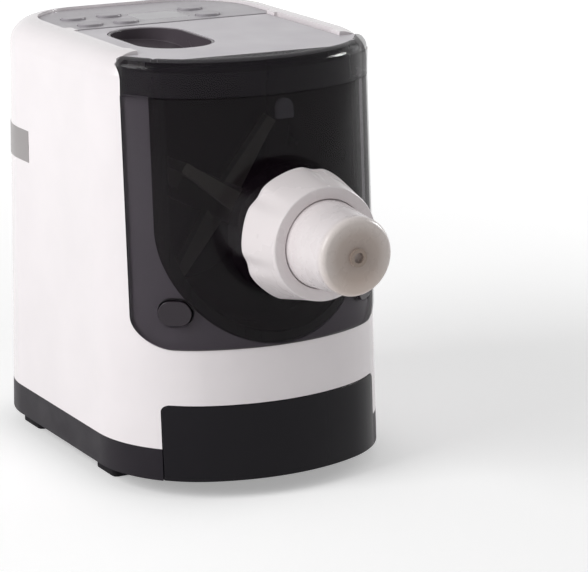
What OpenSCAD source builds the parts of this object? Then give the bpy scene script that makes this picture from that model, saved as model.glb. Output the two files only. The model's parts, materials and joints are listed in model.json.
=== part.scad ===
// Electric pasta maker: a leaning moulded body with a lid, a mixing chamber,
// a screw extruder driven by a geared motor, and a storage drawer.
// X runs to the right, Y to the back and Z up. Lengths are in millimetres.

/* [Body] */
// Width across the sides
body_w = 208; // [204:1:214]
// Height from the table to the top of the rim
body_h = 300; // [298:1:312]
// Depth at the top
body_d = 257; // [256:1:275]
// Lean of the front below the lid, in degrees
front_lean = 3.9; // [2.5:0.1:4.5]
// Lean of the back, in degrees
rear_lean = 2; // [1:0.1:3]
// Plan radius across the front
front_r = 144; // [140:1:156]
// Plan radius of the front corners
corner_r = 79; // [74:1:82]
// Plan radius of the rear corners
rear_r = 66; // [58:1:70]
// Radius of the soft top edge
crown_r = 18; // [14:1:20]
// Wall of the housing
wall = 3; // [2:0.25:3.5]
// Height of the dark base pan
base_h = 22; // [18:1:24]
// Height of the feet
foot_h = 12.5; // [10:0.5:14]
// Depth of the lid's front skirt below the rim
skirt_h = 27.4; // [25:0.2:30]

/* [Front panel] */
// Width of the smoked panel
panel_w = body_w - 20;
// Height of the panel's lower edge above the table
panel_low = 103.8; // [100:0.2:106]
// Radius of the panel's lower corners
panel_corner_r = 20; // [12:1:24]
// Wall of the panel and of the lid cover
panel_t = 3.5; // [3:0.25:4]
// How far the panel stands proud of the body
panel_proud = 1; // [0.5:0.1:1.5]
// Thickness of the chamber gasket
seal_t = 3; // [2.5:0.25:3.5]

/* [Chamber and extruder] */
// Height of the extruder's axis above the table
axis_z = 184; // [182:1:187]
// Inner radius of the mixing chamber
chamber_r = 72; // [68:1:73]
// Wall of the mixing chamber
chamber_t = 3; // [2.5:0.25:3.5]
// Depth of the chamber, from the front apex to its rear wall
chamber_d = 150; // [145:1:152]
// Bore of the extruder barrel
barrel_r = 25; // [23:0.5:26]
// Outer radius of the barrel's threaded part
thread_r = 32.5; // [31:0.25:33]
// Radial clearance of the extruder screw in its barrel
screw_gap = 0.7; // [0.4:0.1:1]
// Lead of the extruder screw
screw_lead = 28; // [24:1:34]
// Radius of the clamp nut at its back
nut_back_r = 45.3; // [44:0.1:48]
// Radius of the clamp nut at its front
nut_front_r = 38.5; // [37:0.1:40]
// Length of the clamp nut
nut_l = 34.4; // [33:0.2:37]
// Distance of the nut's back behind the front apex, negative in front
nut_back_y = -29.8; // [-32:0.2:-29]
// Radius of the opening in the nut's front
nut_hole_r = 30.1; // [29.5:0.1:31]
// Length of the die that shows in front of the nut
die_out = 40.6; // [34:0.2:44]
// Radius of the die at its root
die_root_r = 29.5; // [28.5:0.1:29.8]
// Radius of the die at its tip
die_tip_r = 26.4; // [25:0.1:27]
// Diameter of the strand holes
strand_d = 2; // [1.6:0.1:2.4]

/* [Lid and controls] */
// Distance of the lid's back edge behind the front apex
lid_d = chamber_d + 9;
// Width of the lid behind its skirt
lid_w = body_w - 54;
// Width of the control panel
control_w = body_w - 44;
// Radius of the lid's soft front edge
lid_round = 8; // [6:0.5:9]
// Thickness of the lid and control plates
plate_t = 3; // [2.5:0.25:3.5]
// Depth of the plates below the rim
plate_drop = 2; // [1.5:0.25:3]
// Length and width of the pouring opening
pour_l = 90; // [80:1:92]
pour_w = 58; // [50:1:60]
// Length and width of a control button
button_l = 18; // [15:0.5:20]
button_w = 14; // [11:0.5:15]
// Travel of a control button
button_travel = 1; // [0.6:0.1:1.2]
// Length and width of a panel release button
release_l = 24; // [20:1:26]
release_w = 18; // [14:1:19]
// Travel of a panel release button
release_travel = 2.5; // [1.5:0.25:3]

/* [Drawer] */
// Width of the drawer front
drawer_w = body_w - 44;
// Height of the drawer's top edge above the table
drawer_top = 64.9; // [62:0.2:68]
// Wall of the drawer tray
tray_t = 2.2; // [1.8:0.1:2.6]

/* [Drive] */
// Gear module of the motor stage and of the output stage
module_1 = 1.2; // [1.1:0.05:1.25]
module_2 = 1.6; // [1.5:0.05:1.65]
// Teeth of both pinions and of both wheels
pinion_teeth = 15; // [15:1:16]
wheel_teeth = 60; // [58:1:62]
// Radius of the output shaft
shaft_r = 8; // [7:0.25:9]
// Radius of the motor's core
motor_r = 35; // [32:1:36]

/* [Hidden] */
$fn = 96;

// Clearances: between shells, between sliding pieces and in a running bore
gap = 0.5;
slide_gap = 0.4;
run_gap = 0.05;
eps = 0.01;

// Body levels and plan centres, with y = 0 at the front apex under the lid.
// The crown overhangs the lower walls by a fine shadow step.
crown_over = 0.2;
half_w = body_w / 2;
seam_z = foot_h + base_h;
shoulder_z = body_h - skirt_h;
far = 2 * body_d;
corner_x = half_w - corner_r;
corner_y = front_r - sqrt(pow(front_r - corner_r, 2) - pow(corner_x, 2));
rear_x = half_w - rear_r;
bow_y = front_r - corner_y;
reach = 4;

// Lid and control plates
deck_z = body_h - plate_drop;
ledge_z = deck_z - plate_t;
ledge_t = 6;
ledge_w = 5;
lid_half = lid_w / 2;
control_half = control_w / 2;
control_front = lid_d + gap;
control_rear = body_d - crown_r + 1;
control_corner_r = 46;
front_cut_y = 54;
panel_half = panel_w / 2;
skirt_back_y = front_cut_y - 2;
groove_w = 4.2;
groove_y = [66, 148];
groove_h = 10;

// Lid hinge: the lid's rear edge is a round barrel on the pins
hinge_r = 3.5;
hinge_y = lid_d - hinge_r;
hinge_z = deck_z - hinge_r;
pin_r = 1.6;
pin_hold = 12;

// Lid: the soft shoulder stands back from the skirt by a fine step
skirt_step = 0.6;
shoulder_in = skirt_step - panel_proud;
plate_in = lid_round + shoulder_in + 0.2;
web_t = 3;
pour_x = pour_w / 2 + 13 - lid_half;
pour_y = chamber_d - pour_l / 2 - 0.5;
tray_deep = 15;
tray_slot = [34, 8];
tray_turn = 24;
tray_fall = 7;
catch_x = 6;
catch_w = 13;

// Grey band, vent and mains inlet at the back
band_z = 214.7;
band_y = 187;
band_depth = 1.6;
vent_w = 66;
vent_h = 84;
vent_z = seam_z + 90;
vent_bars = 11;
inlet_w = 28;
inlet_h = 21;
inlet_z = seam_z + 24;
inlet_pin_at = [[-8, -4], [-1, 0], [6, -4]];

// Feet, and behind each the boss of a screw that holds the base pan to the housing
foot_w = 30;
foot_x = half_w - 11 - foot_w / 2;
foot_y = [83, body_d - 49];
boss_r = 5;
boss_h = 44;
boss_at = [[half_w - 13, foot_y[0] + foot_w / 2 + 14], [half_w - 27, foot_y[1] + foot_w / 2 + 5]];
boss_low = foot_h + wall;
screw_r = 1.7;
rib_t = 2.4;
rib_low = seam_z + 5;
rear_rib_x = rear_x + sqrt(pow(rear_r - wall / 2, 2)
    - pow(boss_at[1][1] - body_d + rear_r - tan(rear_lean) * (shoulder_z - rib_low - 10), 2));
rib_end_x = [half_w - wall / 2, rear_rib_x];

// Frame, chamber mouth and gasket behind the panel
frame_t = 3;
frame_outer = wall + 0.2;
chamber_top = ledge_z - ledge_t - 1;
seal_front = panel_t - panel_proud;
lip_r = chamber_r + chamber_t + 5;
lip_t = 4;
seal_r = shaft_r + 5;

// Release buttons, square to the curve of the front corners
release_x = panel_half - 21;
release_z = panel_low + 24.9;
release_turn = asin((release_x - corner_x) / corner_r);

// The lid's magnet is above a switch that sits on the inside of the front frame
switch_size = [8, 6, 11];
switch_turn = 58;
frame_inner_r = corner_r - frame_outer - frame_t;
magnet_r = frame_inner_r - switch_size[1] / 2;
magnet_at = [corner_x + magnet_r * sin(switch_turn), corner_y - magnet_r * cos(switch_turn)];
magnet_size = [3.5, 4];

// Buttons, display and circuit board
button_rows = [control_front + 13.5, control_front + 42];
button_columns = [26 - control_half, 54 - control_half, control_half - 45];
key_h = 3.4;
display_x = 4.5;
display_y = control_front + 28.5;
display_l = 40;
display_w = 30;
display_t = 1.2;
board_t = 1.6;
board_z = ledge_z - 12;
post_x = [40 - control_half, control_half - 30];
post_y = [control_front + 10, control_rear - 14];

// Extruder, all on the axis (x = 0, z = axis_z)
nut_front_y = nut_back_y - nut_l;
nut_lip = 4;
flange_t = 4;
flange_y = nut_front_y + nut_lip;
die_seal_t = 1.2;
barrel_front = flange_y + flange_t + die_seal_t;
nut_bore_r = thread_r + 0.8;
panel_boss_r = 50;
panel_boss_y = nut_back_y + 2.5;
boss_groove = 3.5;
die_tip_y = nut_front_y - die_out;
boss_out = 2;
tip_y = die_tip_y - boss_out;
flight_r = barrel_r - screw_gap;
die_wall = 3;
die_round_r = 8;
tip_boss_r = 6;
blind_r = 3.5;
hole_rows = [-2 : 2];
hole_turn = 13;
hole_pitch = 4.2;

// Mixer on the hexagon of the output shaft
hex_r = shaft_r * 0.92;
hub_r = 13;
hub_y = [26, chamber_d - 5];
paddle_r = chamber_r - 4;
auger_back = hub_y[0] - 1;
auger_core_r = 9;

// Chassis, gearbox and motor stack, going back from the chamber
bulkhead_y = chamber_d + chamber_t;
bulkhead_t = 4;
gearbox_y = bulkhead_y + bulkhead_t;
plate_thick = 3;
output_face = 12;
wheel_face = 8;
gear_side = 1.5;
output_gear_y = gearbox_y + plate_thick + gear_side;
wheel_y = output_gear_y + output_face + gear_side;
rear_plate_y = wheel_y + wheel_face + gear_side;
motor_y = rear_plate_y + plate_thick;
bell_l = 8;
fan_l = 9;
fan_gap = 1.5;
fan_room = 10;
stator_y = motor_y + bell_l;
fan_y = body_d - wall - fan_room - fan_l;
rear_bell_y = fan_y - fan_gap - bell_l;
motor_l = rear_bell_y - stator_y;
rotor_r = 18;
rotor_shaft_r = 4;
bolt_r = 1.6;
chassis_half = chamber_r + chamber_t + 14;
cheek_t = 4;
cheek_d = 30;

// Gear centres: output wheel at the axis, the compound gear low on the right
centre_1 = module_1 * (pinion_teeth + wheel_teeth) / 2;
centre_2 = module_2 * (pinion_teeth + wheel_teeth) / 2;
idler_angle = -51;
motor_x = 0;
idler_x = centre_2 * cos(idler_angle);
idler_z = axis_z + centre_2 * sin(idler_angle);
motor_z = idler_z - sqrt(pow(centre_1, 2) - pow(idler_x - motor_x, 2));
idler_r = 3;
bearing_r = shaft_r + 3;

// Gear teeth: pressure angle, play, and the turn that puts a tooth into a gap
pressure = 20;
tooth_play = 0.3;
pinion_pitch = 360 / pinion_teeth;
motor_angle = atan2(motor_z - idler_z, motor_x - idler_x);

// Gearbox plates and the pillars between them
plate_round = module_2 * wheel_teeth / 2 + 12;
pillar_r = 4;
pillar_out = plate_round - pillar_r - 1;
pillar_low = module_1 * wheel_teeth / 2 + 2 + pillar_r;
pillar_at = concat([for (a = [20, 100, 190]) [pillar_out * cos(a), axis_z + pillar_out * sin(a)]],
    [[idler_x + pillar_low * cos(30), idler_z - pillar_low * sin(30)],
    [motor_x - motor_r + 5, motor_z - 12]]);

// Drawer
drawer_half = drawer_w / 2;
drawer_t = 4;
tray_half = drawer_half - 5;
tray_floor = foot_h + 5;
tray_top = drawer_top - 4;
tray_back = chamber_d - 6;
drawer_low = foot_h + 0.4;
rail_z = tray_floor + 12;
rail_w = 4;
runner_y = 26;

// Moves the whole model so that the middle of its length is at y = 0
back_y = body_d + tan(rear_lean) * (shoulder_z - foot_h);
module place() { translate([0, -(tip_y + back_y) / 2, 0]) children(); }

// ---------------------------------------------------------------- helpers

// A flat outline drawn in X and Z, made solid from y0 to y1
module along_y(y0, y1) { translate([0, y1, 0]) rotate([90, 0, 0]) linear_extrude(y1 - y0) children(); }

// A profile drawn with x as radius and y as depth, turned about the extruder's axis
module turned() { translate([0, 0, axis_z]) rotate([-90, 0, 0]) rotate_extrude() children(); }

module both_sides() {
    children();
    mirror([1, 0, 0]) children();
}

module rounded_rect(w, d, r) {
    for (sx = [-1, 1], sy = [-1, 1]) translate([sx * (w / 2 - r), sy * (d / 2 - r)]) circle(r);
    square([w - 2 * r, d], center = true);
    square([w, d - 2 * r], center = true);
}

module slot(length, width) {
    for (s = [-1, 1]) translate([s * (length - width) / 2, 0]) circle(width / 2);
    square([length - width, width], center = true);
}

// Screw along +Z with a tapered head below z = 0
module pan_screw(r, length) {
    translate([0, 0, -1.6 * r]) cylinder(h = 1.6 * r + eps, r1 = 1.5 * r, r2 = 1.9 * r);
    cylinder(h = length, r = r);
}

// ---------------------------------------------------------------- body form

// The bowed front is a broad arc with a tighter arc on each side. A zone is the
// wedge of one arc: 0 the middle, -1 the left, 1 the right. The wedges share
// their edges, so that the arcs meet in exact tangent points.
module arc_wedge(zone) {
    if (zone == 0) polygon([[0, front_r], [-reach * corner_x, front_r - reach * bow_y],
        [reach * corner_x, front_r - reach * bow_y]]);
    else polygon([[zone * corner_x, corner_y], [zone * reach * corner_x, front_r - reach * bow_y],
        [zone * body_w, front_r - reach * bow_y], [zone * body_w, corner_y]]);
}
module arc_centre(zone) {
    translate(zone == 0 ? [0, front_r] : [zone * corner_x, corner_y]) children();
}
function arc_radius(zone) = zone == 0 ? front_r : corner_r;

// Plan of everything behind the bowed front, set in from the outside by inset
module front_plan(inset = 0) {
    difference() {
        intersection() {
            union() {
                arc_centre(0) circle(front_r - inset);
                translate([-body_w, corner_y]) square([2 * body_w, far]);
            }
            translate([inset - half_w, -front_r]) square([2 * (half_w - inset), far + front_r]);
        }
        for (zone = [-1, 1]) difference() {
            arc_wedge(zone);
            arc_centre(zone) circle(corner_r - inset);
        }
    }
}

// Plan of everything in front of the round-cornered back, whose edge is at y = 0
module rear_plan(inset = 0) {
    for (s = [-1, 1]) translate([s * rear_x, -rear_r]) circle(rear_r - inset);
    translate([-rear_x, -rear_r - eps]) square([2 * rear_x, rear_r + eps - inset]);
    translate([-half_w + inset, -far]) square([2 * (half_w - inset), far - rear_r]);
}

module slab(z0, z1) { translate([-far, -far, z0]) cube([2 * far, 3 * far, z1 - z0]); }

// Everything behind the leaning front, from z0 to z1
module front_solid(inset, z0, z1) {
    intersection() {
        translate([0, 0, shoulder_z]) rotate([-front_lean, 0, 0]) translate([0, 0, -body_h])
            linear_extrude(body_h + 2 * skirt_h) front_plan(inset);
        slab(z0, z1);
    }
}

// The body below the shoulder, where front and back lean
module lower_form(inset, z0) {
    intersection() {
        front_solid(inset, z0, shoulder_z + eps);
        translate([0, body_d, shoulder_z]) rotate([rear_lean, 0, 0]) translate([0, 0, -body_h])
            linear_extrude(body_h + skirt_h) rear_plan(inset);
    }
}

// Half section of the crown: out to r, with its top edge rounded
module crown_section(r, inset) {
    round_r = crown_r - inset;
    top = body_h - inset;
    translate([0, shoulder_z]) square([r - round_r, top - shoulder_z]);
    translate([0, shoulder_z]) square([r, top - round_r - shoulder_z]);
    intersection() {
        translate([r - round_r, top - round_r]) circle(round_r);
        translate([r - round_r, top - round_r]) square(2 * round_r);
    }
}

// The body above the shoulder, upright, with the soft top edge
module upper_form(inset) {
    for (zone = [-1 : 1]) intersection() {
        arc_centre(zone) rotate_extrude() crown_section(arc_radius(zone) - inset, inset);
        linear_extrude(2 * body_h) arc_wedge(zone);
    }
    both_sides() intersection() {
        translate([rear_x, body_d - rear_r, 0]) rotate_extrude() crown_section(rear_r - inset, inset);
        translate([rear_x, body_d - rear_r, 0]) cube([rear_r + 1, rear_r + 1, 2 * body_h]);
    }
    both_sides() along_y(corner_y, body_d - rear_r) crown_section(half_w - inset, inset);
    translate([-rear_x, body_d - rear_r, 0]) rotate([90, 0, 90]) linear_extrude(2 * rear_x)
        crown_section(rear_r - inset, inset);
}

module body_form(inset, z0) {
    lower_form(inset, z0);
    upper_form(inset - crown_over);
}

// Outline of the smoked panel, seen from the front, grown by grow
module panel_outline(grow = 0) {
    r = panel_corner_r + grow;
    for (s = [-1, 1]) translate([s * (panel_half - panel_corner_r), panel_low + panel_corner_r]) circle(r);
    translate([-panel_half + panel_corner_r, panel_low - grow])
        square([2 * (panel_half - panel_corner_r), r + eps]);
    translate([-panel_half - grow, panel_low + panel_corner_r])
        square([2 * (panel_half + grow), body_h]);
}

// A sheet that follows the leaning front, between two insets, within an outline
module front_sheet(outer, inner, z0, z1) {
    intersection() {
        difference() {
            front_solid(outer, z0, z1);
            front_solid(inner, z0 - 1, z1 + 1);
        }
        along_y(-body_d / 3, front_cut_y + 6) children();
    }
}

// Children drawn upright against the leaning back, whose outside is y = 0 there
module on_back() {
    translate([0, body_d, shoulder_z]) rotate([rear_lean, 0, 0]) translate([0, 0, -shoulder_z]) children();
}

// Plan of the control panel and of the lid behind its skirt
module control_outline(grow = 0) {
    front = control_front - grow;
    middle = control_rear - control_corner_r;
    intersection() {
        union() {
            for (s = [-1, 1]) translate([s * (control_half - control_corner_r), middle])
                circle(control_corner_r + grow);
            translate([-control_half + control_corner_r, front])
                square([2 * (control_half - control_corner_r), control_rear + grow - front]);
            translate([-control_half - grow, front]) square([2 * (control_half + grow), middle - front]);
        }
        translate([-half_w, front]) square([body_w, body_d]);
    }
}

module lid_strip(grow = 0) {
    translate([-lid_half - grow, skirt_back_y - 20])
        square([2 * (lid_half + grow), lid_d - skirt_back_y + 20 + grow]);
}

module vent_opening(grow = 0) {
    translate([0, vent_z]) rounded_rect(vent_w + 2 * grow, vent_h + 2 * grow, 5 + grow);
}
// ---------------------------------------------------------------- housing

module band_zone(grow) {
    // a strip round the back with round front ends on both sides
    band_h = 22.5 + 2 * grow;
    translate([-far / 2, 0, 0]) rotate([90, 0, 90]) linear_extrude(far) {
        translate([band_y, band_z]) circle(band_h / 2);
        translate([band_y, band_z - band_h / 2]) square([far, band_h]);
    }
}

module housing_shell() color("whitesmoke") place() {
    difference() {
        union() {
            difference() {
                body_form(0, seam_z);
                body_form(wall, seam_z - 1);
            }
            // rim that hangs from the top and carries the plates
            translate([0, 0, ledge_z - ledge_t]) linear_extrude(body_h - 2 - ledge_z + ledge_t) difference() {
                union() {
                    control_outline(wall);
                    translate([-lid_half - groove_w - wall, front_cut_y - 3])
                        square([2 * (lid_half + groove_w + wall), lid_d - front_cut_y + 3]);
                }
                control_outline(-ledge_w);
                lid_strip(-ledge_w);
            }
            both_sides() housing_bosses();
        }
        along_y(-far / 2, front_cut_y) panel_outline(gap);
        translate([0, 0, ledge_z - ledge_t - 1]) linear_extrude(body_h) {
            control_outline(-ledge_w);
            lid_strip(-ledge_w);
        }
        translate([0, 0, ledge_z]) linear_extrude(body_h) {
            control_outline(gap);
            lid_strip(gap);
        }
        both_sides() finger_groove();
        // round groove for the lid's hinge barrel, and the bores of its pins
        on_hinge(-lid_half - gap) cylinder(h = lid_w + 2 * gap, r = hinge_r + gap);
        both_sides() on_hinge(lid_half - 2) cylinder(h = 1 + wall + groove_w, r = pin_r + run_gap);
        along_y(-far / 2, front_cut_y) drawer_opening();
        on_back() along_y(-10, 10) vent_opening();
        on_back() along_y(-10, 10) translate([0, inlet_z]) rounded_rect(inlet_w, inlet_h, 3);
        difference() {
            band_zone(0);
            lower_form(band_depth, 0);
            translate([-far, -far, 0]) cube([2 * far, far + body_d / 2, body_h]);
        }
    }
}

module on_hinge(x) { translate([x, hinge_y, hinge_z]) rotate([0, 90, 0]) children(); }

module finger_groove() {
    middle = (groove_y[0] + groove_y[1]) / 2;
    translate([lid_half + groove_w / 2 - gap, middle, body_h - groove_h]) linear_extrude(2 * groove_h)
        rotate(90) slot(groove_y[1] - groove_y[0], groove_w);
}

module drawer_opening() {
    translate([0, drawer_top - 40 + gap]) rounded_rect(drawer_w + 2 * gap, 80, 5);
}

// Screw bosses, each with a rib to the wall above the base pan
module housing_bosses() {
    for (i = [0, 1]) translate([boss_at[i][0], boss_at[i][1], 0]) difference() {
        union() {
            translate([0, 0, boss_low]) cylinder(h = boss_h, r = boss_r);
            translate([0, -rib_t / 2, rib_low])
                cube([rib_end_x[i] - boss_at[i][0], rib_t, boss_h + boss_low - rib_low]);
        }
        translate([0, 0, boss_low - 1]) cylinder(h = 22, r = screw_r);
    }
}

module rear_band() color("darkgray") place() {
    intersection() {
        difference() {
            lower_form(-0.3, seam_z);
            lower_form(band_depth, seam_z - 1);
        }
        band_zone(-0.15);
        translate([-far, body_d / 2 + 10, 0]) cube([2 * far, far, body_h]);
    }
}

module base_pan() color("#3a3a3e") place() {
    difference() {
        intersection() {
            lower_form(0, foot_h);
            slab(foot_h, seam_z);
        }
        intersection() {
            lower_form(wall, foot_h + wall);
            slab(foot_h + wall, body_h);
        }
        // the drawer front takes the place of the wall and of the floor's front edge
        intersection() {
            along_y(-far / 2, front_cut_y) drawer_opening();
            difference() {
                slab(0, body_h);
                front_solid(drawer_t + gap, foot_h - 1, body_h);
            }
        }
        both_sides() for (p = boss_at) translate([p[0], p[1], 0]) cylinder(h = body_h, r = 2.2);
        for (x = [-48 : 8 : 48]) translate([x, body_d - 52, foot_h - 1]) linear_extrude(wall + 2)
            rotate(90) slot(34, 4);
    }
    // locating rib inside the housing's lower edge
    difference() {
        union() {
            intersection() {
                lower_form(wall - eps, seam_z - 6);
                slab(seam_z - 6, seam_z);
            }
            intersection() {
                lower_form(wall + 0.2, seam_z - 6);
                slab(seam_z - 6, seam_z + 4);
            }
        }
        lower_form(2 * wall, seam_z - 8);
        along_y(-far / 2, front_cut_y + 20) translate([0, drawer_top])
            square([drawer_w + 12, body_h], center = true);
        both_sides() for (p = boss_at) translate([p[0], p[1], 0]) cylinder(h = body_h, r = boss_r + 3);
    }
}

module rubber_feet() color("#1c1c1e") place() {
    both_sides() for (y = foot_y) translate([foot_x, y, 0]) {
        translate([0, 0, 3]) linear_extrude(foot_h - 3) rounded_rect(foot_w, foot_w, 4);
        linear_extrude(3 + eps) rounded_rect(foot_w - 4, foot_w - 4, 3);
    }
}

module base_screws() color("silver") place() {
    both_sides() for (p = boss_at) translate([p[0], p[1], foot_h]) pan_screw(screw_r, 20);
}

module vent_grille() color("#2c2c2f") place() on_back() {
    pitch = (vent_h - 10) / vent_bars;
    difference() {
        along_y(-wall, -0.3) vent_opening(-0.15);
        for (i = [0 : vent_bars - 1]) along_y(-wall - 1, 1)
            translate([0, vent_z + (i - (vent_bars - 1) / 2) * pitch]) slot(vent_w - 10, pitch - 2.6);
    }
    along_y(-wall - 2, -wall) difference() {
        vent_opening(2.5);
        vent_opening(-3);
    }
}

module mains_inlet() color("#19191b") place() on_back() {
    difference() {
        union() {
            along_y(-22, 0) translate([0, inlet_z]) rounded_rect(inlet_w - 0.3, inlet_h - 0.3, 3);
            along_y(0, 1.1) translate([0, inlet_z]) rounded_rect(inlet_w + 8, inlet_h + 6, 4);
        }
        along_y(-16, 3) translate([0, inlet_z]) rounded_rect(inlet_w - 4, inlet_h - 5, 2.5);
        for (p = inlet_pin_at) translate([p[0], -23, inlet_z + p[1]]) cube([2, 8, 4]);
    }
}

module inlet_pins() color("silver") place() on_back()
    for (p = inlet_pin_at) translate([p[0], -27, inlet_z + p[1]]) cube([2, 22, 4]);

// ---------------------------------------------------------------- front

// A frame behind the panel that closes the housing round the chamber's mouth
module front_frame() color("#26262b") place() {
    difference() {
        front_sheet(frame_outer, frame_outer + frame_t, panel_low - 8, shoulder_z) panel_outline(6);
        along_y(-far / 2, front_cut_y + 10) stepped_trough(lip_r + gap, far);
        both_sides() release_space(0.6, -1);
    }
}

// U-shaped section of the chamber, round below the axis and straight above it
module stepped_trough(r, top) {
    polygon(concat([for (a = [180 : 3.75 : 360]) [r * cos(a), axis_z + r * sin(a)]], [[r, top], [-r, top]]));
}

module mixing_chamber() color("#3b3940") place() {
    front = seal_front + seal_t;
    // lip that meets the gasket
    intersection() {
        difference() {
            front_solid(front, 0, shoulder_z - 1);
            front_solid(front + lip_t, -1, shoulder_z);
        }
        along_y(-far / 4, front_cut_y) difference() {
            stepped_trough(lip_r, body_h);
            stepped_trough(chamber_r, body_h + 1);
        }
    }
    difference() {
        union() {
            intersection() {
                front_solid(front + lip_t / 2, 0, body_h);
                along_y(-far / 4, bulkhead_y) stepped_trough(chamber_r + chamber_t, chamber_top);
            }
            // boss round the shaft seal
            translate([0, chamber_d, axis_z]) rotate([-90, 0, 0])
                cylinder(h = chamber_t + bulkhead_t, r = seal_r + 3);
            // top flange
            along_y(front_cut_y + 1, bulkhead_y) translate([0, chamber_top - 1.5])
                square([2 * lip_r, 3], center = true);
        }
        along_y(-far / 4, chamber_d) stepped_trough(chamber_r, body_h);
        translate([0, chamber_d - 1, axis_z]) rotate([-90, 0, 0]) cylinder(h = 20, r = seal_r);
    }
}

module shaft_seal() color("#5a2f26") place() {
    turned() translate([0, chamber_d]) difference() {
        translate([shaft_r + run_gap, 0]) square([seal_r - shaft_r - run_gap, chamber_t + bulkhead_t]);
        translate([shaft_r + 1.6, -1]) square([seal_r - shaft_r - 3, 4]);
    }
}

module panel_gasket() color("#101012") place() {
    front_sheet(seal_front, seal_front + seal_t, 0, shoulder_z - 1) difference() {
        stepped_trough(lip_r - 1, body_h);
        stepped_trough(chamber_r + 0.5, body_h + 1);
    }
}

module front_panel() color([0.16, 0.13, 0.18, 0.72]) place() {
    groove_out = nut_back_r - 5.5;
    difference() {
        union() {
            front_sheet(-panel_proud, panel_t - panel_proud, panel_low, shoulder_z - gap / 2) panel_outline();
            // flared boss behind the nut
            difference() {
                turned() polygon([[0, panel_boss_y], [nut_back_r - 2, panel_boss_y],
                    [panel_boss_r, 6], [0, 6]]);
                front_solid(panel_t - panel_proud, 0, body_h);
            }
            // barrel
            turned() translate([0, barrel_front]) square([thread_r - 1.2, -barrel_front + 6]);
            turned() translate([0, barrel_front + 1]) square([thread_r, panel_boss_y - 3 - barrel_front]);
        }
        turned() translate([0, barrel_front - 1]) square([barrel_r, far / 4]);
        // narrow moulding groove of the boss round the barrel
        turned() polygon([[groove_out - boss_groove, panel_boss_y - 1], [groove_out, panel_boss_y - 1],
            [panel_boss_r - 6, -10], [panel_boss_r - 6 - boss_groove, -10]]);
        both_sides() release_space(0.4, -6);
    }
}

// A panel release button sits on the corner's curve, square to it
module on_release() {
    translate([corner_x, corner_y - tan(front_lean) * (shoulder_z - release_z), release_z])
        rotate([0, 0, release_turn]) translate([0, -corner_r - panel_proud, 0]) children();
}
module release_space(grow, from) {
    on_release() along_y(from - 6, 12) slot(release_l + 2 * grow, release_w + 2 * grow);
}
module release_button() {
    on_release() {
        along_y(-1.2, panel_t) slot(release_l, release_w);
        along_y(panel_t, panel_t + release_travel + 1) slot(release_l - 8, release_w - 8);
    }
}
module release_button_right() color("#2b2a30") place() release_button();
module release_button_left() color("#2b2a30") place() mirror([1, 0, 0]) release_button();

module lid_catch() color([0.5, 0.5, 0.55, 0.6]) place() {
    front_sheet(panel_t - panel_proud, panel_t - panel_proud + 3, shoulder_z - 18, shoulder_z - 2) {
        translate([catch_x, shoulder_z - 10]) circle(catch_w / 2);
        translate([catch_x - catch_w / 2, shoulder_z - 17]) square([catch_w, 7]);
    }
}

// ---------------------------------------------------------------- lid

module pour_outline(grow = 0) {
    translate([pour_x, pour_y]) rounded_rect(pour_w + 2 * grow, pour_l + 2 * grow, pour_w / 2 - 2 + grow);
}

// Plan of the whole lid up to rear, set in at the front by inset
module lid_outline(inset, rear) {
    intersection() {
        front_plan(inset);
        translate([-panel_half, -far]) square([panel_w, far + skirt_back_y]);
    }
    translate([-lid_half, skirt_back_y - 20]) square([lid_w, rear - skirt_back_y + 20]);
}

// Half section of the skirt and its shoulder, for an arc of radius r
module skirt_section(r) {
    low = shoulder_z + gap / 2;
    round_at = [r - shoulder_in - lid_round, deck_z - lid_round];
    translate([r + panel_proud - panel_t, low]) square([panel_t, round_at[1] - low]);
    translate([round_at[0] - 6, deck_z - panel_t]) square([6, panel_t]);
    difference() {
        intersection() {
            translate(round_at) circle(lid_round);
            translate(round_at) square(2 * lid_round);
        }
        translate(round_at) circle(lid_round - panel_t);
    }
}

module lid_plate() color("#a3a3a6") place() {
    difference() {
        union() {
            translate([0, 0, ledge_z]) linear_extrude(plate_t) lid_outline(plate_in, hinge_y);
            on_hinge(-lid_half) cylinder(h = lid_w, r = hinge_r);
        }
        translate([0, 0, ledge_z - 1]) linear_extrude(plate_t + 2) pour_outline();
        both_sides() on_hinge(lid_half - pin_hold) cylinder(h = pin_hold + 1, r = pin_r);
    }
}

module lid_cover() color([0.16, 0.13, 0.18, 0.8]) place() {
    difference() {
        union() {
            intersection() {
                for (zone = [-1 : 1]) intersection() {
                    arc_centre(zone) rotate_extrude() skirt_section(arc_radius(zone));
                    linear_extrude(2 * body_h) arc_wedge(zone);
                }
                translate([-panel_half, -far, 0]) cube([panel_w, far + skirt_back_y, 2 * body_h]);
            }
            translate([0, 0, ledge_z - web_t]) linear_extrude(web_t) lid_outline(2, hinge_y - hinge_r - gap);
            // stiffening rim under the web
            translate([0, 0, ledge_z - web_t - 5]) linear_extrude(6) difference() {
                web_rim(0);
                web_rim(3);
            }
        }
        translate([0, 0, ledge_z - 20]) linear_extrude(40) pour_outline(1.6);
        // room for the ledge of the housing
        translate([0, 0, ledge_z - 10]) linear_extrude(10 + eps) both_sides()
            translate([lid_half - ledge_w - 0.4, front_cut_y - 0.6]) square([20, 200]);
        translate([0, 0, ledge_z]) linear_extrude(40) lid_outline(plate_in, hinge_y);
    }
}

module web_rim(inset) {
    side = lid_half - ledge_w - 1 - inset;
    translate([-side, skirt_back_y + inset]) square([2 * side, lid_d - skirt_back_y - 16 - 2 * inset]);
}

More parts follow.
